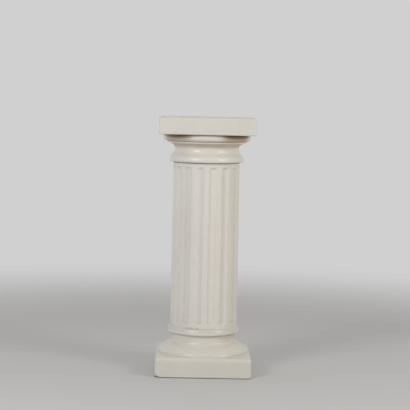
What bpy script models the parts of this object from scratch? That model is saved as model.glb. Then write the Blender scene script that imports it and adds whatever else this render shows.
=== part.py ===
"""A plaster column pedestal, all of it one casting.

A square slab tops a turned capital, a fluted shaft and a turned base on a square plinth. It stands upright on
the XY plane with its axis on Z, and its front faces -Y. Lengths are in metres.
"""

import math

import bmesh
import bpy
from mathutils import Matrix, Vector

# Plinth
PLINTH_SIDE = 0.280
PLINTH_HEIGHT = 0.058
PLINTH_CORNER = 0.012
PLINTH_TOP_EDGE = 0.0115
PLINTH_FOOT_EDGE = 0.002
PLINTH_LEDGE = 0.0065

# The front left foot of the plinth is worn off by this much along each of its three edges
WORN_ALONG_FRONT = 0.018
WORN_ALONG_SIDE = 0.022
WORN_HEIGHT = 0.010

# Base, from the plinth up: a bell with a round lip, a waist and a round collar
LIP_ROUND = 0.008
LIP_CREST_RISE = 0.0035
LIP_HEAD_ANGLE = 60
BELL_HEIGHT = 0.0375
BELL_UPPER_SLOPE = 24
BELL_LOWER_SLOPE = 52
WAIST_RECESS = 0.004
WAIST_FOOT_ROUND = 0.008
WAIST_HEIGHT = 0.020
COLLAR_PROJECTION = 0.0085
COLLAR_UPPER_HEIGHT = 0.0165
COLLAR_LOWER_HEIGHT = 0.005

# Shaft
SHAFT_HEIGHT = 0.482
SHAFT_FOOT_RADIUS = 0.099
SHAFT_TOP_RADIUS = 0.0975

# Flutes: shallow troughs with a plain band of shaft left above and below them
FLUTE_COUNT = 16
FLUTE_WIDTH = 0.023
FLUTE_DEPTH = 0.0065
FLUTE_HEAD_RISE = 0.008
FLUTE_FOOT_RISE = 0.009
BAND_UNDER_CAPITAL = 0.0125
BAND_OVER_COLLAR = 0.010

# Capital, from the shaft up: a flare with a rounded rim, a cove, a fillet and a round echinus
FLARE_PROJECTION = 0.0112
FLARE_HEIGHT = 0.039
FLARE_RIM_ROUND = 0.006
FLARE_SLOPE = 40
NECK_RECESS = 0.0032
COVE_HEIGHT = 0.0175
FILLET_HEIGHT = 0.005
ECHINUS_PROJECTION = 0.0125
ECHINUS_UPPER_HEIGHT = 0.0105
ECHINUS_LOWER_HEIGHT = 0.010

# Slab
SLAB_SIDE = 0.280
SLAB_HEIGHT = 0.049
SLAB_CORNER = 0.004
SLAB_EDGE = 0.003
SLAB_LEDGE = 0.0105

# How far the turned part runs into the plinth and the slab, and its round into the slab's underside
EMBEDDED = 0.010
ECHINUS_SEAT = 0.001
ECHINUS_TOP_ANGLE = 78

# How finely the round surfaces are divided
TURNED_SIDES = 64
FLUTE_CUTTER_SIDES = 20
CURVE_STEPS = 5
ROUND_STEPS = 4
SHORT_STEPS = 3
CORNER_SEGMENTS = 4
EDGE_SEGMENTS = 3
TOP_EDGE_SEGMENTS = 5

PAINT_COLOUR = (0.74, 0.70, 0.62, 1)
PAINT_ROUGHNESS = 0.4
SHARP_EDGE_ANGLE = math.radians(35)

# Heights at which one moulding meets the next
bell_foot = PLINTH_HEIGHT
waist_foot = bell_foot + BELL_HEIGHT
collar_foot = waist_foot + WAIST_HEIGHT
collar_middle = collar_foot + COLLAR_LOWER_HEIGHT
shaft_foot = collar_middle + COLLAR_UPPER_HEIGHT
shaft_top = shaft_foot + SHAFT_HEIGHT
neck_height = shaft_top + FLARE_HEIGHT
fillet_foot = neck_height + COVE_HEIGHT
echinus_foot = fillet_foot + FILLET_HEIGHT
echinus_middle = echinus_foot + ECHINUS_LOWER_HEIGHT
slab_foot = echinus_middle + ECHINUS_UPPER_HEIGHT

# Radii
lip_radius = PLINTH_SIDE / 2 - PLINTH_LEDGE
waist_radius = SHAFT_FOOT_RADIUS - WAIST_RECESS
flare_radius = SHAFT_TOP_RADIUS + FLARE_PROJECTION
neck_radius = SHAFT_TOP_RADIUS - NECK_RECESS
echinus_radius = SLAB_SIDE / 2 - SLAB_LEDGE
fillet_radius = echinus_radius - ECHINUS_PROJECTION


def clear_scene():
    for obj in list(bpy.data.objects):
        bpy.data.objects.remove(obj)


def new_collection(name):
    collection = bpy.data.collections.new(name)
    bpy.context.scene.collection.children.link(collection)
    return collection


def painted_plaster():
    material = bpy.data.materials.new("Painted plaster")
    material.use_nodes = True
    shader = material.node_tree.nodes["Principled BSDF"]
    shader.inputs["Base Color"].default_value = PAINT_COLOUR
    shader.inputs["Roughness"].default_value = PAINT_ROUGHNESS
    shader.inputs["Metallic"].default_value = 0
    return material


def arc(centre, radii, start, end, steps):
    """Points (radius, height) along an arc of an ellipse, from one angle to another in degrees."""
    angles = [math.radians(start + (end - start) * i / steps) for i in range(steps + 1)]
    return [(centre[0] + radii[0] * math.cos(a), centre[1] + radii[1] * math.sin(a)) for a in angles]


def sweep(start, start_slope, end, end_slope, steps):
    """Points along a curve that leaves start and reaches end at these slopes, in degrees below the level."""
    leaving = Vector((math.cos(math.radians(start_slope)), -math.sin(math.radians(start_slope))))
    arriving = Vector((math.cos(math.radians(end_slope)), -math.sin(math.radians(end_slope))))
    gap = Vector(end) - Vector(start)
    reach = gap.cross(arriving) / leaving.cross(arriving)
    corner = Vector(start) + leaving * reach
    shares = [i / steps for i in range(steps + 1)]
    return [
        tuple(Vector(start) * (1 - t) ** 2 + corner * 2 * t * (1 - t) + Vector(end) * t**2) for t in shares
    ]


def capital_profile():
    """The capital's outer side, from inside the slab down to the top of the shaft."""
    seat = slab_foot + ECHINUS_SEAT
    echinus_centre = (fillet_radius, echinus_middle)
    upper = arc(
        echinus_centre, (ECHINUS_PROJECTION, seat - echinus_middle), ECHINUS_TOP_ANGLE, 0, ROUND_STEPS
    )
    lower = arc(echinus_centre, (ECHINUS_PROJECTION, ECHINUS_LOWER_HEIGHT), 0, -90, ROUND_STEPS)
    cove_depth = fillet_radius - neck_radius
    cove = arc((fillet_radius, neck_height), (-cove_depth, COVE_HEIGHT), 90, 0, CURVE_STEPS)
    rim_centre = (flare_radius - FLARE_RIM_ROUND, shaft_top + FLARE_RIM_ROUND)
    rim = arc(rim_centre, (FLARE_RIM_ROUND, FLARE_RIM_ROUND), 0, -90, SHORT_STEPS)
    turn = ((neck_radius + flare_radius) / 2, (neck_height + rim_centre[1]) / 2)
    hollow = sweep((neck_radius, neck_height), 90, turn, FLARE_SLOPE, SHORT_STEPS)
    swell = sweep(turn, FLARE_SLOPE, (flare_radius, rim_centre[1]), 90, SHORT_STEPS)
    return (
        [(0, slab_foot + EMBEDDED), (upper[0][0], slab_foot + EMBEDDED)]
        + upper
        + lower[1:]
        + cove
        + hollow[1:]
        + swell[1:]
        + rim[1:]
        + [(SHAFT_TOP_RADIUS, shaft_top)]
    )


def base_profile():
    """The base's outer side, from the foot of the shaft down to inside the plinth."""
    collar_centre = (SHAFT_FOOT_RADIUS, collar_middle)
    upper = arc(collar_centre, (COLLAR_PROJECTION, COLLAR_UPPER_HEIGHT), 90, 0, CURVE_STEPS)
    lower = arc(collar_centre, (COLLAR_PROJECTION, COLLAR_LOWER_HEIGHT), 0, -90, SHORT_STEPS)
    waist_centre = (waist_radius + WAIST_FOOT_ROUND, waist_foot)
    waist_round = arc(
        waist_centre, (WAIST_FOOT_ROUND, WAIST_FOOT_ROUND), 180, 270 - BELL_UPPER_SLOPE, SHORT_STEPS
    )
    lip_centre = (lip_radius - LIP_ROUND, bell_foot + LIP_CREST_RISE)
    lip = arc(lip_centre, (LIP_ROUND, LIP_ROUND), LIP_HEAD_ANGLE, 0, CURVE_STEPS)
    bell = sweep(waist_round[-1], BELL_UPPER_SLOPE, lip[0], BELL_LOWER_SLOPE, CURVE_STEPS)
    return (
        upper
        + lower[1:]
        + [(waist_radius, collar_foot)]
        + waist_round
        + bell[1:]
        + lip[1:]
        + [(lip[-1][0], bell_foot - EMBEDDED), (0, bell_foot - EMBEDDED)]
    )


def turned(name, profile, sides, collection):
    """An object with this outline of (radius, height) points turned about Z. The outline runs downwards."""
    mesh = bpy.data.meshes.new(name)
    edges = [(i, i + 1) for i in range(len(profile) - 1)]
    mesh.from_pydata([(radius, 0, height) for radius, height in profile], edges, [])
    obj = bpy.data.objects.new(name, mesh)
    collection.objects.link(obj)
    screw = obj.modifiers.new("Turn", "SCREW")
    screw.steps = sides
    screw.render_steps = sides
    screw.use_merge_vertices = True
    screw.merge_threshold = 0.0001
    screw.use_smooth_shade = True
    return obj


def rounded_block(name, side, foot, height, corner, edges, collection):
    """A square block centred on Z, its upright corners, top edges and foot edges rounded.

    The edges are given as the width and the number of segments at the top, then the same at the foot.
    """
    bm = bmesh.new()
    place = Matrix.Translation((0, 0, foot + height / 2)) @ Matrix.Diagonal((side, side, height, 1))
    bmesh.ops.create_cube(bm, size=1, matrix=place)
    upright = [e for e in bm.edges if abs(e.verts[0].co.z - e.verts[1].co.z) > height / 2]
    bmesh.ops.bevel(bm, geom=upright, offset=corner, segments=CORNER_SEGMENTS, profile=0.5, affect="EDGES")
    for level, (width, segments) in zip((foot + height, foot), edges):
        rim = [e for e in bm.edges if all(abs(v.co.z - level) < height * 0.01 for v in e.verts)]
        bmesh.ops.bevel(bm, geom=rim, offset=width, segments=segments, profile=0.5, affect="EDGES")
    mesh = bpy.data.meshes.new(name)
    bm.to_mesh(mesh)
    bm.free()
    obj = bpy.data.objects.new(name, mesh)
    collection.objects.link(obj)
    return obj


def flute_cutters(collection):
    """One upright rod with domed ends for each flute, laid along the taper of the shaft."""
    half_width = FLUTE_WIDTH / 2
    rod_radius = (half_width**2 + FLUTE_DEPTH**2) / (2 * FLUTE_DEPTH)
    head_dome = FLUTE_HEAD_RISE * rod_radius / half_width
    foot_dome = FLUTE_FOOT_RISE * rod_radius / half_width
    foot = shaft_foot + BAND_OVER_COLLAR + FLUTE_FOOT_RISE
    top = shaft_top - BAND_UNDER_CAPITAL - FLUTE_HEAD_RISE
    half_length = (top - foot) / 2
    outline = arc((0, half_length), (rod_radius, head_dome), 90, 0, CURVE_STEPS)
    outline += arc((0, -half_length), (rod_radius, foot_dome), 0, -90, CURVE_STEPS)
    middle = (top + foot) / 2
    taper = (SHAFT_FOOT_RADIUS - SHAFT_TOP_RADIUS) / SHAFT_HEIGHT
    surface = SHAFT_FOOT_RADIUS - taper * (middle - shaft_foot)
    stand = Matrix.Translation((surface - FLUTE_DEPTH + rod_radius, 0, middle))
    lean = Matrix.Rotation(-math.atan(taper), 4, "Y")
    for i in range(FLUTE_COUNT):
        cutter = turned(f"Flute cutter {i + 1}", outline, FLUTE_CUTTER_SIDES, collection)
        turn = Matrix.Rotation(math.tau * (i + 0.5) / FLUTE_COUNT, 4, "Z")
        cutter.matrix_world = turn @ stand @ lean


def worn_foot_cutter(collection):
    """A block whose one face slices off the front left foot of the plinth."""
    half = PLINTH_SIDE / 2
    corner = Vector((-half, -half, 0))
    along_front = corner + Vector((WORN_ALONG_FRONT, 0, 0))
    along_side = corner + Vector((0, WORN_ALONG_SIDE, 0))
    upward = corner + Vector((0, 0, WORN_HEIGHT))
    outward = (along_side - along_front).cross(upward - along_front).normalized()
    if outward.dot(corner - along_front) < 0:
        outward = -outward
    size = 2 * max(WORN_ALONG_FRONT, WORN_ALONG_SIDE, WORN_HEIGHT)
    bm = bmesh.new()
    bmesh.ops.create_cube(bm, size=size)
    mesh = bpy.data.meshes.new("Worn foot cutter")
    bm.to_mesh(mesh)
    bm.free()
    obj = bpy.data.objects.new("Worn foot cutter", mesh)
    collection.objects.link(obj)
    face_middle = (along_front + along_side + upward) / 3
    turn = outward.to_track_quat("Z", "Y").to_matrix().to_4x4()
    obj.matrix_world = Matrix.Translation(face_middle + outward * size / 2) @ turn


def boolean(obj, name, operation, operand):
    """Adds a Boolean to obj with one object or with all that a collection holds."""
    modifier = obj.modifiers.new(name, "BOOLEAN")
    modifier.operation = operation
    modifier.solver = "EXACT"
    if isinstance(operand, bpy.types.Collection):
        modifier.operand_type = "COLLECTION"
        modifier.collection = operand
    else:
        modifier.object = operand


def hide_helpers(collection):
    collection.hide_render = True
    for obj in collection.objects:
        obj.hide_render = True
        obj.display_type = "WIRE"


def solid_copy(source, name, collection):
    """A plain mesh object of what the source's modifiers make, shaded smooth except over sharp edges."""
    bpy.context.view_layer.update()
    graph = bpy.context.evaluated_depsgraph_get()
    mesh = bpy.data.meshes.new_from_object(source.evaluated_get(graph))
    mesh.name = name
    mesh.shade_smooth()
    mesh.set_sharp_from_angle(angle=SHARP_EDGE_ANGLE)
    obj = bpy.data.objects.new(name, mesh)
    collection.objects.link(obj)
    return obj


def main():
    clear_scene()
    parts = new_collection("Plaster pedestal")
    blanks = new_collection("Blanks")
    flutes = new_collection("Flute cutters")
    cutters = new_collection("Cutters")

    outline = capital_profile() + base_profile()
    column = turned("Turned column", outline, TURNED_SIDES, blanks)
    plinth_edges = ((PLINTH_TOP_EDGE, TOP_EDGE_SEGMENTS), (PLINTH_FOOT_EDGE, EDGE_SEGMENTS))
    plinth = rounded_block(
        "Plinth block", PLINTH_SIDE, 0, PLINTH_HEIGHT, PLINTH_CORNER, plinth_edges, blanks
    )
    slab_edges = ((SLAB_EDGE, EDGE_SEGMENTS), (SLAB_EDGE, EDGE_SEGMENTS))
    slab = rounded_block("Slab block", SLAB_SIDE, slab_foot, SLAB_HEIGHT, SLAB_CORNER, slab_edges, blanks)
    flute_cutters(flutes)
    worn_foot_cutter(cutters)

    boolean(column, "Flutes", "DIFFERENCE", flutes)
    boolean(plinth, "Worn foot", "DIFFERENCE", cutters.objects[0])
    boolean(column, "Plinth", "UNION", plinth)
    boolean(column, "Slab", "UNION", slab)

    pedestal = solid_copy(column, "pedestal", parts)
    pedestal.data.materials.clear()
    pedestal.data.materials.append(painted_plaster())
    for collection in (blanks, flutes, cutters):
        hide_helpers(collection)


main()
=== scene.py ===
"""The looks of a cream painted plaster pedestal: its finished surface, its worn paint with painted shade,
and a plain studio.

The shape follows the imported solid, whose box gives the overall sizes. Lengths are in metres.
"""

import math

import bmesh
import bpy
from mathutils import Matrix, Vector


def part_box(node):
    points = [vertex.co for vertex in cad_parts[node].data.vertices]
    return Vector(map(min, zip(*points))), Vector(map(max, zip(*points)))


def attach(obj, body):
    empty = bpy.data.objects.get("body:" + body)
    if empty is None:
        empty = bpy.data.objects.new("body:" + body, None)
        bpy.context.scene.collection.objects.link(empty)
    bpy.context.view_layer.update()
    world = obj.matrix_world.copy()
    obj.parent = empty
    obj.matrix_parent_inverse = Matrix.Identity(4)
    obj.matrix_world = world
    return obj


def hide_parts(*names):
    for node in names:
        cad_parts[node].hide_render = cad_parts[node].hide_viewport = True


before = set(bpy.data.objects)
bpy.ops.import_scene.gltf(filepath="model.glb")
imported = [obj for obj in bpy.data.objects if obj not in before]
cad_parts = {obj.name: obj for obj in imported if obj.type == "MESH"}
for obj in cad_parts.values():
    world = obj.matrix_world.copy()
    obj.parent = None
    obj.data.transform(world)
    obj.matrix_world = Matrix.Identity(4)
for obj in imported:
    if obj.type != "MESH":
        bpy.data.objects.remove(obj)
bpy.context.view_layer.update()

bl_info = {
    "name": "Plaster Pedestal",
    "version": (1, 0, 0),
    "blender": (4, 5, 0),
    "location": "View3D > Sidebar > Pedestal",
    "description": "Models a fluted plaster pedestal with its worn cream paint, and a studio to show it in",
    "category": "Add Mesh",
}

low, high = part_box("pedestal")
SIDE = high.x - low.x
HEIGHT = high.z - low.z

# Plinth
PLINTH_HEIGHT = 0.058
PLINTH_CORNER = 0.012
PLINTH_TOP_EDGE = 0.0115
PLINTH_FOOT_EDGE = 0.002
PLINTH_LEDGE = 0.0065

# The front left foot of the plinth is worn off by this much along each of its three edges
WORN_ALONG_FRONT = 0.018
WORN_ALONG_SIDE = 0.022
WORN_HEIGHT = 0.010
WORN_ROUND = 0.0025

# Base, from the plinth up: a bell with a round lip, a waist and a round collar
LIP_ROUND = 0.008
LIP_CREST_RISE = 0.0035
LIP_HEAD_ANGLE = 60
BELL_HEIGHT = 0.0375
BELL_UPPER_SLOPE = 24
BELL_LOWER_SLOPE = 52
WAIST_RECESS = 0.004
WAIST_FOOT_ROUND = 0.008
WAIST_HEIGHT = 0.020
COLLAR_PROJECTION = 0.0085
COLLAR_UPPER_HEIGHT = 0.0165
COLLAR_LOWER_HEIGHT = 0.005

# Shaft
SHAFT_FOOT_RADIUS = 0.099
SHAFT_TOP_RADIUS = 0.0975
FLUTE_HEAD_RISE = 0.008
FLUTE_FOOT_RISE = 0.009
BAND_UNDER_CAPITAL = 0.0125
BAND_OVER_COLLAR = 0.010

# Capital, from the shaft up: a flare with a rounded rim, a cove, a fillet and a round echinus
FLARE_PROJECTION = 0.0112
FLARE_HEIGHT = 0.039
FLARE_RIM_ROUND = 0.006
FLARE_SLOPE = 40
NECK_RECESS = 0.0032
COVE_HEIGHT = 0.0175
FILLET_HEIGHT = 0.005
ECHINUS_PROJECTION = 0.0125
ECHINUS_UPPER_HEIGHT = 0.0105
ECHINUS_LOWER_HEIGHT = 0.010
ECHINUS_SEAT = 0.001
ECHINUS_TOP_ANGLE = 78

# Slab
SLAB_HEIGHT = 0.049
SLAB_CORNER = 0.004
SLAB_EDGE = 0.003
SLAB_LEDGE = 0.0105

# How far the turned column runs into the plinth and the slab before they are joined
EMBEDDED = 0.010

# How finely the surfaces are divided
COLUMNS = 320
ROUND_STEPS = 12
CURVE_STEPS = 16
SHORT_STEPS = 8
CORNER_SEGMENTS = 6
EDGE_SEGMENTS = 4
TOP_EDGE_SEGMENTS = 8
SOFT_SEGMENTS = 2
SHAFT_SPACING = 0.011
BAND_SPACING = 0.003
FLUTE_END_SPACING = 0.001
FLUTE_END_MARGIN = 0.002
BLOCK_SPACING = 0.0075
HOLDING_LINE = 0.001
SOFTENED_TURN = math.radians(24)
MERGE_DISTANCE = 0.00002
SMOOTH_ANGLE = math.radians(40)
SAME_FACE_ANGLE = math.radians(1)

# Yellowed paint, and darker paint on the upright corners and the slab's top edge. Here and below, a pair
# gives the depths inside an edge where a mark begins and where it is full
YELLOWED_UP_TO = 0.30
DARKENED_SKIN = (0.004, 0.0005)
DARKENED_CORNER = (0.007, 0.001)
DARKENED_TOP_EDGE = 0.0015
DARKENED_TOP_FADE = 0.002

# Dusty paint and painted shade
DUST_AND_SHADE_UP_TO = 0.55
SIDE_SHADE_SKIN = (0.003, 0.0015)
DUST_AND_SHADE_UNDER_BELL = 0.004
DUST_AND_SHADE_UNDER_WAIST = 0.016
BELL_DUST_AND_SHADE_FADE = 0.006
DUST_AND_SHADE_OVER_CREST = 0.007
DUST_AND_SHADE_UNDER_SHAFT = 0.001
COLLAR_DUST_AND_SHADE_FADE = 0.003
FLUTE_FOOT_SHADE_DEPTHS = (0.0005, 0.002)
FLUTE_FOOT_SHADE_FADE = 0.002

# Painted brown shade in the capital and at the waist. FAR_RIGHT holds two places across the front, not
# depths
SLAB_SHELTER = (0, 0.006)
ECHINUS_FOOT_FADE = 0.002
CREST_SHADE_DROP = 0.004
CREST_SHADE_RISE = 0.005
RIGHTWARD_REACH = 0.06
FAR_RIGHT = (0.03, 0.09)
COVE_SHADE_RISE = 0.010
COVE_SHADE_TOP_FADE = 0.002
UNDER_ECHINUS_RISE = 0.006
FILLET_EDGE_FADE = 0.001
FILLET_LINE_DROP = 0.0006
FILLET_LINE_RISE = 0.0002
WAIST_SHADE_RISE = 0.009
WAIST_SHADE_FADE = 0.003

# Painted shade under the flare's rim, under the slab and at the floor, and soiling on the collar. The
# floor's pair holds two heights, not depths
RIM_SHELTER = (0.001, 0.006)
RIM_GROOVE_DROP = 0.0012
RIM_GROOVE_RISE = 0.0008
RIM_GROOVE_FADE = 0.0012
COLLAR_DIRT_DROP = 0.0004
COLLAR_DIRT_RISE = 0.0006
COLLAR_DIRT_FADE = 0.0014
RECESS_SHADE_DROP = 0.005
FLOOR_SHADE = (0.0030, 0.0008)

# Rusty stain on the collar: its level, then its start, its end and its fade round the shaft, in degrees
STAIN_DROP = 0.0005
STAIN_RISE = 0.0022
STAIN_FADE = 0.0022
STRONG_STAIN = (-29, -11, 5)
FAINT_STAIN = (-2, 16, 6)

# Sheen of the lip, and depth of the paint's fine relief
LIP_SHEEN_FOOT = 0.002
LIP_SHEEN_HEAD = 0.010
LIP_SHEEN_FADE = 0.002
LIP_SHEEN_DEPTHS = (0.0155, 0.0075)
RELIEF_DEPTH = 0.0006

# Studio
SENSOR_WIDTH = 36
FLOOR_RADIUS = 4.0
FLOOR_CLEAR_RADIUS = 1.0
FLOOR_GONE_RADIUS = 2.8
FLOOR_CORNERS = 96
LIGHT_DISTANCE = 3.0
LIGHT_WIDTH = 1.0
LIGHT_ELEVATION = math.radians(22)
LEFT_LIGHT_BEARING = math.radians(-37)
RIGHT_LIGHT_BEARING = math.radians(52)
BACK_LIGHT_FADE = 0.35
LEFT_LIGHT_COLOUR = (0.97, 0.985, 1.0)
RIGHT_LIGHT_COLOUR = (1.0, 0.96, 0.90)

# Heights at which one moulding meets the next
bell_foot = PLINTH_HEIGHT
waist_foot = bell_foot + BELL_HEIGHT
collar_foot = waist_foot + WAIST_HEIGHT
collar_middle = collar_foot + COLLAR_LOWER_HEIGHT
shaft_foot = collar_middle + COLLAR_UPPER_HEIGHT
slab_foot = HEIGHT - SLAB_HEIGHT
echinus_middle = slab_foot - ECHINUS_UPPER_HEIGHT
echinus_foot = echinus_middle - ECHINUS_LOWER_HEIGHT
fillet_foot = echinus_foot - FILLET_HEIGHT
neck_height = fillet_foot - COVE_HEIGHT
shaft_top = neck_height - FLARE_HEIGHT

# Radii
lip_radius = SIDE / 2 - PLINTH_LEDGE
waist_radius = SHAFT_FOOT_RADIUS - WAIST_RECESS
flare_radius = SHAFT_TOP_RADIUS + FLARE_PROJECTION
neck_radius = SHAFT_TOP_RADIUS - NECK_RECESS
echinus_radius = SIDE / 2 - SLAB_LEDGE
fillet_radius = echinus_radius - ECHINUS_PROJECTION


class PedestalShape(bpy.types.PropertyGroup):
    """Sizes of the pedestal's carving and of its hand-cast surface."""

    flute_count: bpy.props.IntProperty(
        name="Flutes", description="Number of flutes round the shaft", default=16, min=4, max=40
    )
    flute_width: bpy.props.FloatProperty(
        name="Flute width", description="Width of a flute across the shaft", default=0.023, unit="LENGTH"
    )
    flute_depth: bpy.props.FloatProperty(
        name="Flute depth", description="Depth of a flute at its middle", default=0.0065, unit="LENGTH"
    )
    arris: bpy.props.FloatProperty(
        name="Arris softness", description="How far the paint rounds the edges of a flute",
        default=0.0008, unit="LENGTH",
    )
    moulding_edge: bpy.props.FloatProperty(
        name="Moulding edge", description="How far the paint rounds the edges between the mouldings",
        default=0.0009, unit="LENGTH",
    )
    unevenness: bpy.props.FloatProperty(
        name="Unevenness", description="Depth of the slow waves that hand casting leaves",
        default=0.0006, unit="LENGTH",
    )
    wave_size: bpy.props.FloatProperty(
        name="Wave size", description="Length of the slow waves in the surface", default=0.07, unit="LENGTH"
    )


class PedestalPaint(bpy.types.PropertyGroup):
    """Colours and sheen of the pedestal's paint, its soiling, its painted shade and its stain."""

    cream: bpy.props.FloatVectorProperty(
        name="Cream paint", description="Colour of the clean paint", subtype="COLOR",
        default=(0.755, 0.724, 0.672),
    )
    aged: bpy.props.FloatVectorProperty(
        name="Aged paint", description="Colour of the paint where it has yellowed", subtype="COLOR",
        default=(0.722, 0.682, 0.605),
    )
    # Colour of the darker paint on the upright corners and the slab's top edge
    edge_colour: bpy.props.FloatVectorProperty(
        name="Rubbed plaster", description="Colour of bare plaster where an edge is rubbed", subtype="COLOR",
        default=(0.68, 0.655, 0.60),
    )
    # Colour of the painted shade under the rim, under the slab and at the floor, and of the soiling on the
    # collar
    grime_and_shade: bpy.props.FloatVectorProperty(
        name="Grime", description="Colour of the dirt in deep grooves", subtype="COLOR",
        default=(0.15, 0.095, 0.050),
    )
    # Colour of dusty paint and of painted shade on the bell, the collar, the flutes' feet, the flat sides
    # and low down
    dust_and_shade: bpy.props.FloatVectorProperty(
        name="Dust", description="Colour of the paint where dust lies on it", subtype="COLOR",
        default=(0.60, 0.575, 0.525),
    )
    # Colour of the warm brown shade painted under the slab's corners and in the mouldings' sheltered lines
    warm_shade: bpy.props.FloatVectorProperty(
        name="Smoke", description="Colour of the brown film under the slab's corners", subtype="COLOR",
        default=(0.47, 0.345, 0.21),
    )
    rust: bpy.props.FloatVectorProperty(
        name="Rust stain", description="Colour of the stain over the collar", subtype="COLOR",
        default=(0.44, 0.25, 0.11),
    )
    roughness: bpy.props.FloatProperty(
        name="Roughness", description="Roughness of the clean paint",
        default=0.33, min=0, max=1, subtype="FACTOR",
    )


class PedestalStudio(bpy.types.PropertyGroup):
    """The camera, the lights and the floor that the pedestal is shown with."""

    lens: bpy.props.FloatProperty(
        name="Lens", description="Focal length for a sensor 36 mm wide", default=128.2, unit="CAMERA"
    )
    distance: bpy.props.FloatProperty(
        name="Distance", description="From the lens to the shaft's axis, on the level",
        default=4.30, unit="LENGTH",
    )
    eye_height: bpy.props.FloatProperty(
        name="Camera height", description="Height of the lens over the floor", default=0.816, unit="LENGTH"
    )
    bearing: bpy.props.FloatProperty(
        name="Bearing", description="How far left of the front the camera stands",
        default=math.radians(0.77), subtype="ANGLE",
    )
    pan: bpy.props.FloatProperty(
        name="Pan", description="How far left of the shaft's axis the camera aims",
        default=math.radians(0.03), subtype="ANGLE",
    )
    pitch: bpy.props.FloatProperty(
        name="Pitch", description="How far the camera looks down",
        default=math.radians(4.317), subtype="ANGLE",
    )
    roll: bpy.props.FloatProperty(
        name="Roll", description="How far the camera is turned on its axis",
        default=math.radians(1.20), subtype="ANGLE",
    )
    left_power: bpy.props.FloatProperty(
        name="Left light", description="Power of the left softbox", default=31, unit="POWER"
    )
    right_power: bpy.props.FloatProperty(
        name="Right light", description="Power of the right softbox", default=27.5, unit="POWER"
    )
    ambient: bpy.props.FloatProperty(
        name="Room light", description="Strength of the even light from the front", default=0.38
    )
    back_light: bpy.props.FloatProperty(
        name="Back light", description="Strength of the even light from behind", default=0.60
    )
    backdrop: bpy.props.FloatVectorProperty(
        name="Backdrop", description="Colour behind the pedestal", subtype="COLOR",
        default=(0.63, 0.63, 0.63),
    )
    floor: bpy.props.FloatVectorProperty(
        name="Floor", description="Colour of the floor", subtype="COLOR",
        default=(0.60, 0.59, 0.58),
    )


class Wire:
    """A shader socket that arithmetic works on: an expression adds the Math nodes that it needs."""

    def __init__(self, material, socket):
        self.material = material
        self.socket = socket

    def maths(self, operation, *values):
        return self.material.node("ShaderNodeMath", {"operation": operation}, dict(enumerate(values)))

    def __add__(self, other):
        return self.maths("ADD", self, other)

    def __radd__(self, other):
        return self.maths("ADD", other, self)

    def __sub__(self, other):
        return self.maths("SUBTRACT", self, other)

    def __rsub__(self, other):
        return self.maths("SUBTRACT", other, self)

    def __mul__(self, other):
        return self.maths("MULTIPLY", self, other)

    def __rmul__(self, other):
        return self.maths("MULTIPLY", other, self)

    def __pow__(self, other):
        return self.maths("POWER", self, other)

    def __abs__(self):
        return self.maths("ABSOLUTE", self)

    def sine(self):
        return self.maths("SINE", self)

    def highest(self, other):
        return self.maths("MAXIMUM", self, other)

    def lowest(self, other):
        return self.maths("MINIMUM", self, other)


class Material:
    """One material and the nodes that it is made of."""

    def __init__(self, name):
        self.made = bpy.data.materials.new(name)
        self.made.use_nodes = True
        self.tree = self.made.node_tree
        self.tree.nodes.clear()

    def node(self, kind, settings=None, inputs=None, output=0):
        """Adds a node, sets it up and fills its sockets with values or links. Returns one of its outputs."""
        made = self.tree.nodes.new(kind)
        for name, value in (settings or {}).items():
            setattr(made, name, value)
        for name, value in (inputs or {}).items():
            if isinstance(value, Wire):
                self.tree.links.new(value.socket, made.inputs[name])
            else:
                made.inputs[name].default_value = value
        return Wire(self, made.outputs[output])

    def place(self):
        """The point's place on the piece, whole and as x, y and z."""
        point = self.node("ShaderNodeTexCoord", output="Object")
        parts = [
            self.node("ShaderNodeSeparateXYZ", inputs={"Vector": point}, output=axis) for axis in "XYZ"
        ]
        return point, *parts

    def step(self, value, start, end):
        """0 at start and 1 at end, with a smooth change between them. End may be the lower one."""
        return self.node(
            "ShaderNodeMapRange",
            {"interpolation_type": "SMOOTHSTEP"},
            {"Value": value, "From Min": start, "From Max": end},
        )

    def band(self, value, start, end, fade):
        """1 between start and end, and 0 further than the fade outside them."""
        return self.step(value, start - fade, start) * self.step(value, end + fade, end)

    def noise(self, point, scale, detail=3, roughness=0.5, distortion=0):
        return self.node(
            "ShaderNodeTexNoise",
            inputs={
                "Vector": point, "Scale": scale, "Detail": detail,
                "Roughness": roughness, "Distortion": distortion,
            },
        )

    def stretched(self, point, scale):
        """The place scaled by this much along each axis, for patterns that run one way."""
        return self.node("ShaderNodeMapping", inputs={"Vector": point, "Scale": scale})

    def blend(self, share, first, second):
        """One colour changing into another. A colour is a link or three numbers."""
        colours = [c if isinstance(c, Wire) else (*c, 1) for c in (first, second)]
        mix = self.tree.nodes.new("ShaderNodeMix")
        mix.data_type = "RGBA"
        for socket, value in zip((mix.inputs[0], mix.inputs[6], mix.inputs[7]), (share, *colours)):
            if isinstance(value, Wire):
                self.tree.links.new(value.socket, socket)
            else:
                socket.default_value = value
        return Wire(self, mix.outputs[2])

    def finish(self, shader):
        output = self.tree.nodes.new("ShaderNodeOutputMaterial")
        self.tree.links.new(shader.socket, output.inputs["Surface"])
        return self.made


def arc(centre, radii, start, end, steps):
    """Points (radius, height) along an arc of an ellipse, from one angle to another in degrees."""
    angles = [math.radians(start + (end - start) * i / steps) for i in range(steps + 1)]
    return [(centre[0] + radii[0] * math.cos(a), centre[1] + radii[1] * math.sin(a)) for a in angles]


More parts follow.
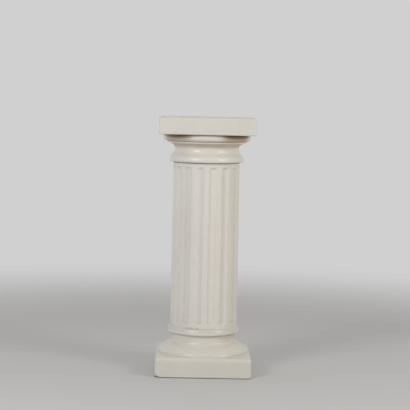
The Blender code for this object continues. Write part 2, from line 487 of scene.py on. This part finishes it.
def sweep(start, start_slope, end, end_slope, steps):
    """Points along a curve that leaves start and reaches end at these slopes, in degrees below the level."""
    leaving = Vector((math.cos(math.radians(start_slope)), -math.sin(math.radians(start_slope))))
    arriving = Vector((math.cos(math.radians(end_slope)), -math.sin(math.radians(end_slope))))
    gap = Vector(end) - Vector(start)
    reach = gap.cross(arriving) / leaving.cross(arriving)
    corner = Vector(start) + leaving * reach
    shares = [i / steps for i in range(steps + 1)]
    return [
        tuple(Vector(start) * (1 - t) ** 2 + corner * 2 * t * (1 - t) + Vector(end) * t**2) for t in shares
    ]


def straight(start, end, spacing):
    """Points along a straight stretch, both ends with it, no further apart than the spacing."""
    count = math.ceil(math.dist(start, end) / spacing)
    return [tuple(Vector(start).lerp(Vector(end), i / count)) for i in range(count + 1)]


def flute_ends():
    """Heights of the foot and the head of the flutes, at their tips."""
    return shaft_foot + BAND_OVER_COLLAR, shaft_top - BAND_UNDER_CAPITAL


def shaft_radius(height):
    share = (height - shaft_foot) / (shaft_top - shaft_foot)
    return SHAFT_FOOT_RADIUS + (SHAFT_TOP_RADIUS - SHAFT_FOOT_RADIUS) * share


def capital_outline():
    """The capital's outer side, from inside the slab down to the flare's rim."""
    echinus_centre = (fillet_radius, echinus_middle)
    seat = slab_foot + ECHINUS_SEAT
    upper = arc(
        echinus_centre, (ECHINUS_PROJECTION, seat - echinus_middle), ECHINUS_TOP_ANGLE, 0, ROUND_STEPS
    )
    lower = arc(echinus_centre, (ECHINUS_PROJECTION, ECHINUS_LOWER_HEIGHT), 0, -90, ROUND_STEPS)
    cove_depth = fillet_radius - neck_radius
    cove = arc((fillet_radius, neck_height), (-cove_depth, COVE_HEIGHT), 90, 0, CURVE_STEPS)
    rim_centre = (flare_radius - FLARE_RIM_ROUND, shaft_top + FLARE_RIM_ROUND)
    rim = arc(rim_centre, (FLARE_RIM_ROUND, FLARE_RIM_ROUND), 0, -90, SHORT_STEPS)
    turn = ((neck_radius + flare_radius) / 2, (neck_height + rim_centre[1]) / 2)
    hollow = sweep((neck_radius, neck_height), 90, turn, FLARE_SLOPE, SHORT_STEPS)
    swell = sweep(turn, FLARE_SLOPE, (flare_radius, rim_centre[1]), 90, SHORT_STEPS)
    top = slab_foot + EMBEDDED
    echinus = [(0, top), (upper[0][0], top)] + upper + lower[1:]
    return echinus + cove + hollow[1:] + swell[1:] + rim[1:]


def shaft_outline():
    """The shaft's outer side downwards, with lines close together at the ends of the flutes."""
    foot, head = flute_ends()
    levels = (
        (shaft_top, BAND_SPACING), (head + FLUTE_END_MARGIN, FLUTE_END_SPACING),
        (head - FLUTE_HEAD_RISE - FLUTE_END_MARGIN, SHAFT_SPACING),
        (foot + FLUTE_FOOT_RISE + FLUTE_END_MARGIN, FLUTE_END_SPACING),
        (foot - FLUTE_END_MARGIN, BAND_SPACING), (shaft_foot, BAND_SPACING),
    )
    points = []
    for (upper, spacing), (lower, _) in zip(levels, levels[1:]):
        points += straight((shaft_radius(upper), upper), (shaft_radius(lower), lower), spacing)[:-1]
    return points


def base_outline():
    """The base's outer side, from the foot of the shaft down to inside the plinth."""
    collar_centre = (SHAFT_FOOT_RADIUS, collar_middle)
    upper = arc(collar_centre, (COLLAR_PROJECTION, COLLAR_UPPER_HEIGHT), 90, 0, ROUND_STEPS)
    lower = arc(collar_centre, (COLLAR_PROJECTION, COLLAR_LOWER_HEIGHT), 0, -90, SHORT_STEPS)
    waist_centre = (waist_radius + WAIST_FOOT_ROUND, waist_foot)
    waist_round = arc(
        waist_centre, (WAIST_FOOT_ROUND, WAIST_FOOT_ROUND), 180, 270 - BELL_UPPER_SLOPE, SHORT_STEPS
    )
    waist = straight((waist_radius, collar_foot), (waist_radius, waist_foot), BAND_SPACING)
    lip_centre = (lip_radius - LIP_ROUND, bell_foot + LIP_CREST_RISE)
    lip = arc(lip_centre, (LIP_ROUND, LIP_ROUND), LIP_HEAD_ANGLE, 0, ROUND_STEPS)
    bell = sweep(waist_round[-1], BELL_UPPER_SLOPE, lip[0], BELL_LOWER_SLOPE, CURVE_STEPS)
    bottom = bell_foot - EMBEDDED
    collar = upper + lower[1:]
    foot = [(lip[-1][0], bottom), (0, bottom)]
    return collar + waist + waist_round[1:] + bell[1:] + lip[1:] + foot


def only(obj):
    """Makes obj the one selected object and the active one."""
    bpy.ops.object.select_all(action="DESELECT")
    bpy.context.view_layer.objects.active = obj
    obj.select_set(True)


def begin(obj):
    """Starts work on obj in edit mode, with all of it selected."""
    only(obj)
    bpy.ops.object.mode_set(mode="EDIT")
    bpy.ops.mesh.select_mode(type="VERT")
    bpy.ops.mesh.select_all(action="SELECT")


def end():
    bpy.ops.object.mode_set(mode="OBJECT")


def pick(obj, kind, test):
    """In edit mode, selects only the vertices, edges or faces that pass a test."""
    bpy.ops.mesh.select_mode(type=kind)
    bpy.ops.mesh.select_all(action="DESELECT")
    mesh = bmesh.from_edit_mesh(obj.data)
    for item in {"VERT": mesh.verts, "EDGE": mesh.edges, "FACE": mesh.faces}[kind]:
        if test(item):
            item.select_set(True)
    mesh.select_flush_mode()
    bmesh.update_edit_mesh(obj.data)


def modify(obj, kind, **settings):
    """Adds a modifier to obj, sets it and applies it."""
    only(obj)
    bpy.ops.object.modifier_add(type=kind)
    modifier = obj.modifiers[-1]
    for name, value in settings.items():
        setattr(modifier, name, value)
    bpy.ops.object.modifier_apply(modifier=modifier.name)


def turns_sharply(vertex):
    """True where an outline turns by more than the angle that the paint softens."""
    if len(vertex.link_edges) != 2:
        return False
    before, after = (edge.other_vert(vertex).co - vertex.co for edge in vertex.link_edges)
    return math.pi - before.angle(after) > SOFTENED_TURN


def drawn_outline(name, points):
    """A line through these (radius, height) points, drawn by extruding one vertex from each to the next."""
    bpy.ops.mesh.primitive_plane_add(size=SHAFT_SPACING, location=(points[0][0], 0, points[0][1]))
    obj = bpy.context.object
    obj.name = obj.data.name = name
    bpy.ops.object.transform_apply(location=True, rotation=True, scale=True)
    begin(obj)
    bpy.ops.mesh.merge(type="CENTER")
    for here, there in zip(points, points[1:]):
        step = (there[0] - here[0], 0, there[1] - here[1])
        bpy.ops.mesh.extrude_region_move(TRANSFORM_OT_translate={"value": step})
    end()
    return obj


def turned_column(shape):
    """The capital, the plain shaft and the base, spun from their outline as one closed body."""
    column = drawn_outline("Turned column", capital_outline() + shaft_outline() + base_outline())
    within = (bell_foot, slab_foot)
    begin(column)
    pick(column, "VERT", lambda v: within[0] < v.co.z < within[1] and turns_sharply(v))
    bpy.ops.mesh.bevel(affect="VERTICES", offset=shape.moulding_edge, segments=SOFT_SEGMENTS)
    bpy.ops.mesh.select_all(action="SELECT")
    bpy.ops.mesh.spin(steps=COLUMNS, angle=math.tau, center=(0, 0, 0), axis=(0, 0, 1))
    bpy.ops.mesh.select_all(action="SELECT")
    bpy.ops.mesh.remove_doubles(threshold=MERGE_DISTANCE)
    bpy.ops.mesh.normals_make_consistent(inside=False)
    end()
    return column


def slice_across(axis, levels):
    """Cuts the mesh in edit mode by planes square to an axis, which adds lines and takes nothing off."""
    for level in levels:
        square = Vector((0, 0, 0))
        square[axis] = 1
        bpy.ops.mesh.select_all(action="SELECT")
        bpy.ops.mesh.bisect(plane_co=square * level, plane_no=square)


def lines_between(start, end, first_inset, last_inset):
    """Levels of even lines between two faces of a block, the outer ones close to its rounded edges."""
    inner = (start + first_inset + HOLDING_LINE, end - last_inset - HOLDING_LINE)
    count = math.ceil((inner[1] - inner[0]) / BLOCK_SPACING)
    return [inner[0] + (inner[1] - inner[0]) * i / count for i in range(count + 1)]


def rounded_block(name, foot, height, corner, edges):
    """A square block whose upright corners, top edges and foot edges are rounded, left in edit mode.

    The edges are given as the width and the number of segments at the top, then the same at the foot.
    """
    bpy.ops.mesh.primitive_cube_add(size=1, location=(0, 0, foot + height / 2), scale=(SIDE, SIDE, height))
    block = bpy.context.object
    block.name = block.data.name = name
    bpy.ops.object.transform_apply(location=True, rotation=True, scale=True)
    begin(block)
    pick(block, "EDGE", lambda e: abs(e.verts[0].co.z - e.verts[1].co.z) > height / 2)
    bpy.ops.mesh.bevel(affect="EDGES", offset=corner, segments=CORNER_SEGMENTS, profile=0.5)
    for level, (width, segments) in zip((foot + height, foot), edges):
        pick(block, "EDGE", lambda e: all(abs(v.co.z - level) < MERGE_DISTANCE for v in e.verts))
        bpy.ops.mesh.bevel(affect="EDGES", offset=width, segments=segments, profile=0.5)
    return block


def line_block(foot, height, corner, edges):
    """Adds the even lines to a block, so that its flats can take the waves of hand casting."""
    across = lines_between(-SIDE / 2, SIDE / 2, corner, corner)
    slice_across(0, across)
    slice_across(1, across)
    (top_edge, _), (foot_edge, _) = edges
    slice_across(2, lines_between(foot, foot + height, foot_edge, top_edge))


def wear_foot(plinth):
    """Takes the front left foot off the plinth in edit mode and rounds the break."""
    corner = Vector((-SIDE / 2, -SIDE / 2, 0))
    along_front = corner + Vector((WORN_ALONG_FRONT, 0, 0))
    along_side = corner + Vector((0, WORN_ALONG_SIDE, 0))
    upward = corner + Vector((0, 0, WORN_HEIGHT))
    outward = (along_side - along_front).cross(upward - along_front).normalized()
    if outward.dot(corner - along_front) < 0:
        outward = -outward
    bpy.ops.mesh.select_all(action="SELECT")
    bpy.ops.mesh.bisect(plane_co=along_front, plane_no=outward, use_fill=True, clear_outer=True)
    pick(plinth, "FACE", lambda f: f.normal.dot(outward) > math.cos(SAME_FACE_ANGLE))
    bpy.ops.mesh.region_to_loop()
    bpy.ops.mesh.bevel(affect="EDGES", offset=WORN_ROUND, segments=EDGE_SEGMENTS, profile=0.5)


def unite(obj, others):
    """Joins closed bodies into obj, and removes the others."""
    for other in others:
        modify(obj, "BOOLEAN", operation="UNION", solver="EXACT", object=other)
        bpy.data.objects.remove(other)


def weigh(obj, name, weight):
    """Gives obj a vertex group whose weights follow from the place of each vertex."""
    group = obj.vertex_groups.new(name=name)
    for vertex in obj.data.vertices:
        value = weight(vertex.co)
        if value > 0:
            group.add([vertex.index], value, "REPLACE")


def flute_share(shape):
    """A function that gives how deep a flute is at a place on the shaft, as a share of its full depth."""
    half_width = shape.flute_width / 2
    hollow_radius = (half_width**2 + shape.flute_depth**2) / (2 * shape.flute_depth)
    centre_lift = hollow_radius - shape.flute_depth
    foot, head = flute_ends()
    pitch = math.tau / shape.flute_count

    def share(place):
        if not foot - FLUTE_END_MARGIN < place.z < head + FLUTE_END_MARGIN:
            return 0
        radius = math.hypot(place.x, place.y)
        turn = (math.atan2(place.y, place.x) / pitch) % 1 - 0.5
        across = turn * pitch * radius
        into_foot = 1 - (place.z - foot) / FLUTE_FOOT_RISE
        into_head = 1 - (head - place.z) / FLUTE_HEAD_RISE
        along = half_width * max(0, into_foot, into_head)
        depth = math.sqrt(max(0, hollow_radius**2 - across**2 - along**2)) - centre_lift
        softened = (depth + math.sqrt(depth**2 + shape.arris**2)) / 2
        return softened / (shape.flute_depth + shape.arris)

    return share


def cast_share(place):
    """The share of the casting's waves that a place takes: none near the underside and the top, else all."""
    from_foot = (place.z - PLINTH_FOOT_EDGE) / PLINTH_TOP_EDGE
    from_top = (HEIGHT - SLAB_EDGE - place.z) / SLAB_EDGE
    return max(0, min(1, from_foot, from_top))


def clean_up(obj):
    """Merges points that lie together, turns all faces outward and makes sure that the skin is closed."""
    begin(obj)
    bpy.ops.mesh.remove_doubles(threshold=MERGE_DISTANCE)
    bpy.ops.mesh.normals_make_consistent(inside=False)
    mesh = bmesh.from_edit_mesh(obj.data)
    open_edges = sum(len(edge.link_faces) != 2 for edge in mesh.edges)
    end()
    if open_edges:
        raise RuntimeError(f"{obj.name} isn't closed: {open_edges} edges have no two faces")


def cast_surface():
    """The texture of the slow waves in a hand-cast surface."""
    waves = bpy.data.textures.new("Hand-cast waves", "CLOUDS")
    waves.noise_scale = bpy.context.scene.pedestal_shape.wave_size
    waves.noise_depth = 1
    return waves


def inside(edge, depths):
    """The levels at these depths inside an edge."""
    return [edge - depth for depth in depths]


class PedestalSurface(Material):
    """The pedestal's material, with the places and patterns that the marks on its paint follow."""

    def __init__(self, name):
        super().__init__(name)
        self.point, self.x, y, self.z = self.place()
        self.radius = (self.x * self.x + y * y) ** 0.5
        self.bearing = self.node("ShaderNodeMath", {"operation": "ARCTAN2"}, {0: self.x, 1: 0 - y})
        self.side = abs(self.x).highest(abs(y))
        self.other_side = abs(self.x).lowest(abs(y))
        self.patches = self.noise(self.point, 22, detail=4, roughness=0.55, distortion=0.4)
        self.specks = self.noise(self.point, 260, roughness=0.6)


def yellowing(s):
    """How far the paint has yellowed: in slow patches and downward runs, and more towards the floor."""
    slow = s.noise(s.point, 5, detail=2)
    runs = s.noise(s.stretched(s.point, (70, 70, 6)), 1, detail=4)
    low_down = s.step(s.z, YELLOWED_UP_TO, 0)
    return s.step(slow * 0.5 + s.patches * 0.35 + runs * 0.15 + low_down * 0.12, 0.42, 0.68)


def darkened_edges(s):
    """Where the paint is darker and rougher: along the upright corners and the slab's top edge."""
    at_face = s.step(s.side, *inside(SIDE / 2, DARKENED_SKIN))
    at_corner = at_face * s.step(s.other_side, *inside(SIDE / 2, DARKENED_CORNER))
    at_top_edge = at_face * s.band(s.z, HEIGHT - DARKENED_TOP_EDGE, HEIGHT, DARKENED_TOP_FADE)
    return (at_corner + at_top_edge) * s.step(s.patches * 0.5 + s.specks * 0.5, 0.40, 0.60)


def dust_and_shade(s):
    """Where the paint is darkened: dusty and painted shade on the bell, the collar and low down, painted
    shade alone on the flutes' feet and the flat sides.
    """
    flute_foot, _ = flute_ends()
    bell_dust_and_shade = s.band(s.z, bell_foot - DUST_AND_SHADE_UNDER_BELL, waist_foot - DUST_AND_SHADE_UNDER_WAIST, BELL_DUST_AND_SHADE_FADE)
    collar_dust_and_shade = (collar_middle + DUST_AND_SHADE_OVER_CREST, shaft_foot - DUST_AND_SHADE_UNDER_SHAFT)
    collar_top_dust_and_shade = s.band(s.z, *collar_dust_and_shade, COLLAR_DUST_AND_SHADE_FADE)
    in_flutes = s.step(s.radius, *inside(SHAFT_FOOT_RADIUS, FLUTE_FOOT_SHADE_DEPTHS))
    # Painted shade alone, on the flutes' feet and on the flat sides
    shade_in_flute_feet = s.band(s.z, flute_foot, flute_foot + FLUTE_FOOT_RISE, FLUTE_FOOT_SHADE_FADE) * in_flutes
    shade_on_sides = s.step(s.side, *inside(SIDE / 2, SIDE_SHADE_SKIN))
    low_down = s.step(s.z, DUST_AND_SHADE_UP_TO, 0)
    share = bell_dust_and_shade * 0.10 + collar_top_dust_and_shade * 0.60 + shade_in_flute_feet * 0.50 + shade_on_sides * 0.20 + low_down * 0.26
    return share * (0.6 + 0.8 * s.patches)


def shade_under_slab_corners(s):
    """Painted shade under the slab's corners: 1 on what lies under its corners, and 0 under the middle of
    its sides.
    """
    under_slab = s.step(s.z, slab_foot + SLAB_EDGE, slab_foot)
    sheltered = s.step(s.side, *inside(SIDE / 2, SLAB_SHELTER))
    return under_slab * sheltered * s.step(abs((s.bearing * 2).sine()), 0.50, 0.95)


def shade_under_rim(s):
    """Painted shade in the groove where the flare's rim meets the shaft: 1 in the groove."""
    sheltered = s.step(s.radius, *inside(flare_radius, RIM_SHELTER))
    return s.band(s.z, shaft_top - RIM_GROOVE_DROP, shaft_top + RIM_GROOVE_RISE, RIM_GROOVE_FADE) * sheltered


def brown_shade(s, corner_shade, rim_shade):
    """Where a warm brown shade is painted: under the slab's corners and in the sheltered lines of the
    mouldings.
    """
    shade_up_the_echinus = (
        s.step(s.z, echinus_foot - ECHINUS_FOOT_FADE, echinus_foot + ECHINUS_FOOT_FADE) * 0.60
        + s.step(s.z, echinus_middle - CREST_SHADE_DROP, echinus_middle + CREST_SHADE_RISE) * 0.60
    )
    to_the_right = s.step(s.x, -RIGHTWARD_REACH, RIGHTWARD_REACH)
    at_far_right = s.step(s.x, *FAR_RIGHT)
    cove_shade = s.step(s.z, neck_height, neck_height + COVE_SHADE_RISE)
    shade_in_cove = cove_shade * s.step(s.z, fillet_foot, fillet_foot - COVE_SHADE_TOP_FADE)
    over_fillet = s.step(s.z, echinus_foot - FILLET_EDGE_FADE, echinus_foot)
    shade_under_echinus = s.step(s.z, echinus_foot + UNDER_ECHINUS_RISE, echinus_foot) * over_fillet
    fillet_shade_line = s.band(
        s.z, echinus_foot - FILLET_LINE_DROP, echinus_foot + FILLET_LINE_RISE, FILLET_EDGE_FADE
    )
    shade_at_waist = s.band(s.z, waist_foot + WAIST_SHADE_RISE, collar_middle, WAIST_SHADE_FADE)
    share = (
        corner_shade * shade_up_the_echinus * (to_the_right * 0.30 + 0.75)
        + shade_in_cove * 0.50
        + shade_under_echinus * 0.30
        + fillet_shade_line * 0.90
        + rim_shade * 0.60
        + shade_at_waist * at_far_right * 0.34
    )
    return share * (0.75 + 0.5 * s.patches)


def dirt_and_shade_in_grooves(s, corner_shade, rim_shade, floor_shade):
    """Painted shade under the flare's rim, under the slab's corners and at the floor, with soiling on the
    collar, broken up by the paint's patches and specks.
    """
    on_collar = s.band(s.z, shaft_foot - COLLAR_DIRT_DROP, shaft_foot + COLLAR_DIRT_RISE, COLLAR_DIRT_FADE)
    recess_shade = corner_shade * s.step(s.z, slab_foot - RECESS_SHADE_DROP, slab_foot)
    # Only the collar's share is soiling; the rim, the recess and the floor shares are painted shade
    grooves = rim_shade * 0.80 + on_collar * 0.20 + recess_shade * 0.50 + floor_shade * 0.80
    breakup = 0.34 + 0.43 * s.patches + 0.34 * s.specks
    return s.step(grooves * breakup * 1.1, 0, 1)


def rust_stain(s):
    """The rusty stain on the front of the collar, strong to the left and faint to the right."""
    level = s.band(s.z, shaft_foot - STAIN_DROP, shaft_foot + STAIN_RISE, STAIN_FADE)
    strong = s.band(s.bearing, *(math.radians(a) for a in STRONG_STAIN))
    faint = s.band(s.bearing, *(math.radians(a) for a in FAINT_STAIN)) * 0.22
    return level * (strong + faint) * s.step(s.noise(s.point, 120, detail=2), 0.30, 0.62)


def paint_relief(s):
    """Height of the fine relief: specks and slow grain, with small round pits where bubbles burst."""
    bubbles = s.node(
        "ShaderNodeTexVoronoi", {"feature": "F1"}, {"Vector": s.point, "Scale": 110, "Randomness": 1}
    )
    pits = s.step(bubbles, 0.10, 0.02) * s.step(s.noise(s.point, 35, detail=1), 0.55, 0.65)
    return s.specks * 0.35 + s.noise(s.point, 70) * 1.4 - pits * 1.2


def painted_plaster(paint):
    """Cream eggshell paint on plaster: yellowed, darker on its edges, dusty, soiled and rust-stained, with
    painted shade in its grooves and at its foot.
    """
    s = PedestalSurface("Painted plaster")
    darkened = darkened_edges(s)
    corner_shade = shade_under_slab_corners(s)
    rim_shade = shade_under_rim(s)
    # Painted contact shadow along the plinth's foot
    floor_shade = s.step(s.z, *FLOOR_SHADE)
    dirt_and_shade = dirt_and_shade_in_grooves(s, corner_shade, rim_shade, floor_shade)
    colour = s.blend(yellowing(s), paint.cream, paint.aged)
    # Darker paint on the upright corners and the slab's top edge
    colour = s.blend(s.step(darkened, 0, 1.2) * 0.7, colour, paint.edge_colour)
    # Dusty paint and painted shade
    colour = s.blend(dust_and_shade(s), colour, paint.dust_and_shade)
    # Painted warm brown shade under the slab's corners and in the mouldings' sheltered lines
    colour = s.blend(brown_shade(s, corner_shade, rim_shade), colour, paint.warm_shade)
    # Painted shade in the grooves and at the floor, with soiling on the collar
    colour = s.blend(dirt_and_shade, colour, paint.grime_and_shade)
    # Painted contact shadow: the plinth's lowest millimetres darkened further
    colour = s.blend(floor_shade * 0.9, colour, [c * 0.15 for c in paint.grime_and_shade])
    colour = s.blend(rust_stain(s) * 0.6, colour, paint.rust)

    at_lip = s.band(s.z, bell_foot + LIP_SHEEN_FOOT, bell_foot + LIP_SHEEN_HEAD, LIP_SHEEN_FADE)
    on_lip = at_lip * s.step(s.radius, *inside(lip_radius, LIP_SHEEN_DEPTHS))
    unevenly = 0.10 * (s.patches - 0.5) + 0.12 * (s.specks - 0.5)
    roughness = paint.roughness + unevenly + 0.35 * dirt_and_shade + 0.25 * darkened - 0.10 * on_lip
    bump = s.node(
        "ShaderNodeBump", inputs={"Strength": 0.35, "Distance": RELIEF_DEPTH, "Height": paint_relief(s)}
    )
    shader = s.node(
        "ShaderNodeBsdfPrincipled",
        inputs={"Base Color": colour, "Roughness": roughness, "Metallic": 0, "IOR": 1.5, "Normal": bump},
    )
    return s.finish(shader)


def pale_floor(studio):
    """A matt floor that fades out at a distance from the middle."""
    m = Material("Pale floor")
    point, x, y, _ = m.place()
    away = (x * x + y * y) ** 0.5
    shade = m.blend(m.noise(point, 3, detail=2), [c * 0.985 for c in studio.floor], studio.floor)
    matt = m.node("ShaderNodeBsdfPrincipled", inputs={"Base Color": shade, "Roughness": 0.7})
    clear = m.node("ShaderNodeBsdfTransparent")
    gone = m.step(away, FLOOR_CLEAR_RADIUS, FLOOR_GONE_RADIUS)
    mixed = m.node("ShaderNodeMixShader", inputs={0: gone, 1: matt, 2: clear})
    return m.finish(mixed)


class PEDESTAL_OT_make_body(bpy.types.Operator):
    """Models the pedestal in one closed skin and paints it"""

    bl_idname = "pedestal.make_body"
    bl_label = "Make pedestal"
    bl_options = {"REGISTER", "UNDO"}

    def execute(self, context):
        shape = context.scene.pedestal_shape
        bpy.ops.object.select_all(action="DESELECT")
        plinth_edges = ((PLINTH_TOP_EDGE, TOP_EDGE_SEGMENTS), (PLINTH_FOOT_EDGE, EDGE_SEGMENTS))
        slab_edges = ((SLAB_EDGE, EDGE_SEGMENTS), (SLAB_EDGE, EDGE_SEGMENTS))
        plinth = rounded_block("Plinth block", 0, PLINTH_HEIGHT, PLINTH_CORNER, plinth_edges)
        wear_foot(plinth)
        line_block(0, PLINTH_HEIGHT, PLINTH_CORNER, plinth_edges)
        end()
        slab = rounded_block("Slab block", slab_foot, SLAB_HEIGHT, SLAB_CORNER, slab_edges)
        line_block(slab_foot, SLAB_HEIGHT, SLAB_CORNER, slab_edges)
        end()
        pedestal = turned_column(shape)
        unite(pedestal, (plinth, slab))
        pedestal.name = pedestal.data.name = "Painted_pedestal"
        clean_up(pedestal)

        weigh(pedestal, "flutes", flute_share(shape))
        modify(
            pedestal, "DISPLACE", vertex_group="flutes", mid_level=0,
            strength=-(shape.flute_depth + shape.arris),
        )
        weigh(pedestal, "casting", cast_share)
        modify(
            pedestal, "DISPLACE", vertex_group="casting", mid_level=1, strength=shape.unevenness,
            texture=cast_surface(), texture_coords="LOCAL",
        )
        only(pedestal)
        bpy.ops.object.shade_smooth_by_angle(angle=SMOOTH_ANGLE)
        pedestal.data.materials.clear()
        pedestal.data.materials.append(painted_plaster(context.scene.pedestal_paint))
        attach(pedestal, "root")
        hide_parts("pedestal")
        return {"FINISHED"}


def softbox(name, bearing, power, colour):
    """A soft light on the pedestal from this far round from the front, to the right."""
    aim = Vector((0, 0, HEIGHT / 2))
    level = math.cos(LIGHT_ELEVATION)
    away = Vector((math.sin(bearing) * level, -math.cos(bearing) * level, math.sin(LIGHT_ELEVATION)))
    bpy.ops.object.light_add(type="AREA", location=aim + away * LIGHT_DISTANCE)
    light = bpy.context.object
    light.name = name
    light.rotation_euler = away.to_track_quat("Z", "Y").to_euler()
    light.data.shape = "SQUARE"
    light.data.size = LIGHT_WIDTH
    light.data.energy = power
    light.data.color = colour


def room_light(studio):
    """An even light from all round, and the plain colour that the camera sees behind the pedestal."""
    world = bpy.data.worlds.new("Studio")
    bpy.context.scene.world = world
    world.use_nodes = True
    nodes = world.node_tree.nodes
    links = world.node_tree.links
    nodes.clear()
    seen = nodes.new("ShaderNodeBackground")
    seen.inputs["Color"].default_value = (*studio.backdrop, 1)
    lighting = nodes.new("ShaderNodeBackground")
    lighting.inputs["Color"].default_value = (1, 1, 1, 1)
    direction = nodes.new("ShaderNodeTexCoord")
    parts = nodes.new("ShaderNodeSeparateXYZ")
    strength = nodes.new("ShaderNodeMapRange")
    strength.interpolation_type = "SMOOTHSTEP"
    strength.inputs["From Min"].default_value = -BACK_LIGHT_FADE
    strength.inputs["From Max"].default_value = BACK_LIGHT_FADE
    strength.inputs["To Min"].default_value = studio.ambient
    strength.inputs["To Max"].default_value = studio.back_light
    links.new(direction.outputs["Generated"], parts.inputs[0])
    links.new(parts.outputs["Y"], strength.inputs["Value"])
    links.new(strength.outputs[0], lighting.inputs["Strength"])
    rays = nodes.new("ShaderNodeLightPath")
    mix = nodes.new("ShaderNodeMixShader")
    output = nodes.new("ShaderNodeOutputWorld")
    links.new(rays.outputs["Is Camera Ray"], mix.inputs[0])
    links.new(lighting.outputs[0], mix.inputs[1])
    links.new(seen.outputs[0], mix.inputs[2])
    links.new(mix.outputs[0], output.inputs["Surface"])


class PEDESTAL_OT_set_stage(bpy.types.Operator):
    """Adds the camera, the lights and a plain pale floor"""

    bl_idname = "pedestal.set_stage"
    bl_label = "Set stage"
    bl_options = {"REGISTER", "UNDO"}

    def execute(self, context):
        studio = context.scene.pedestal_studio
        bpy.ops.object.select_all(action="DESELECT")
        place = Matrix.Rotation(-studio.bearing, 4, "Z") @ Vector((0, -studio.distance, studio.eye_height))
        bpy.ops.object.camera_add(location=place)
        camera = context.object
        camera.name = "Camera"
        camera.data.lens = studio.lens
        camera.data.sensor_width = SENSOR_WIDTH
        turn = (
            Matrix.Rotation(studio.pan - studio.bearing, 4, "Z")
            @ Matrix.Rotation(math.pi / 2 - studio.pitch, 4, "X")
            @ Matrix.Rotation(studio.roll, 4, "Z")
        )
        camera.rotation_euler = turn.to_euler()
        context.scene.camera = camera

        bpy.ops.mesh.primitive_circle_add(
            vertices=FLOOR_CORNERS, radius=FLOOR_RADIUS, fill_type="NGON", location=(0, 0, 0)
        )
        floor = context.object
        floor.name = "Floor"
        floor.data.materials.append(pale_floor(studio))

        softbox("Left softbox", LEFT_LIGHT_BEARING, studio.left_power, LEFT_LIGHT_COLOUR)
        softbox("Right softbox", RIGHT_LIGHT_BEARING, studio.right_power, RIGHT_LIGHT_COLOUR)
        room_light(studio)
        context.scene.view_settings.view_transform = "Standard"
        return {"FINISHED"}


class PEDESTAL_PT_panel(bpy.types.Panel):
    """Lists the sizes, the colours and the operators"""

    bl_idname = "PEDESTAL_PT_panel"
    bl_label = "Plaster Pedestal"
    bl_space_type = "VIEW_3D"
    bl_region_type = "UI"
    bl_category = "Pedestal"

    def draw(self, context):
        scene = context.scene
        for title, group in (
            ("Shape", scene.pedestal_shape),
            ("Paint", scene.pedestal_paint),
            ("Studio", scene.pedestal_studio),
        ):
            box = self.layout.box()
            box.label(text=title)
            for name in group.__annotations__:
                box.prop(group, name)
        for operator in OPERATORS:
            self.layout.operator(operator.bl_idname)


GROUPS = {
    "pedestal_shape": PedestalShape,
    "pedestal_paint": PedestalPaint,
    "pedestal_studio": PedestalStudio,
}
OPERATORS = (PEDESTAL_OT_make_body, PEDESTAL_OT_set_stage)
CLASSES = (*GROUPS.values(), *OPERATORS, PEDESTAL_PT_panel)


def register():
    for cls in CLASSES:
        bpy.utils.register_class(cls)
    for name, group in GROUPS.items():
        setattr(bpy.types.Scene, name, bpy.props.PointerProperty(type=group))


def unregister():
    for name in GROUPS:
        delattr(bpy.types.Scene, name)
    for cls in reversed(CLASSES):
        bpy.utils.unregister_class(cls)


def main():
    register()
    bpy.ops.pedestal.make_body()
    bpy.ops.pedestal.set_stage()


if __name__ == "__main__":
    main()
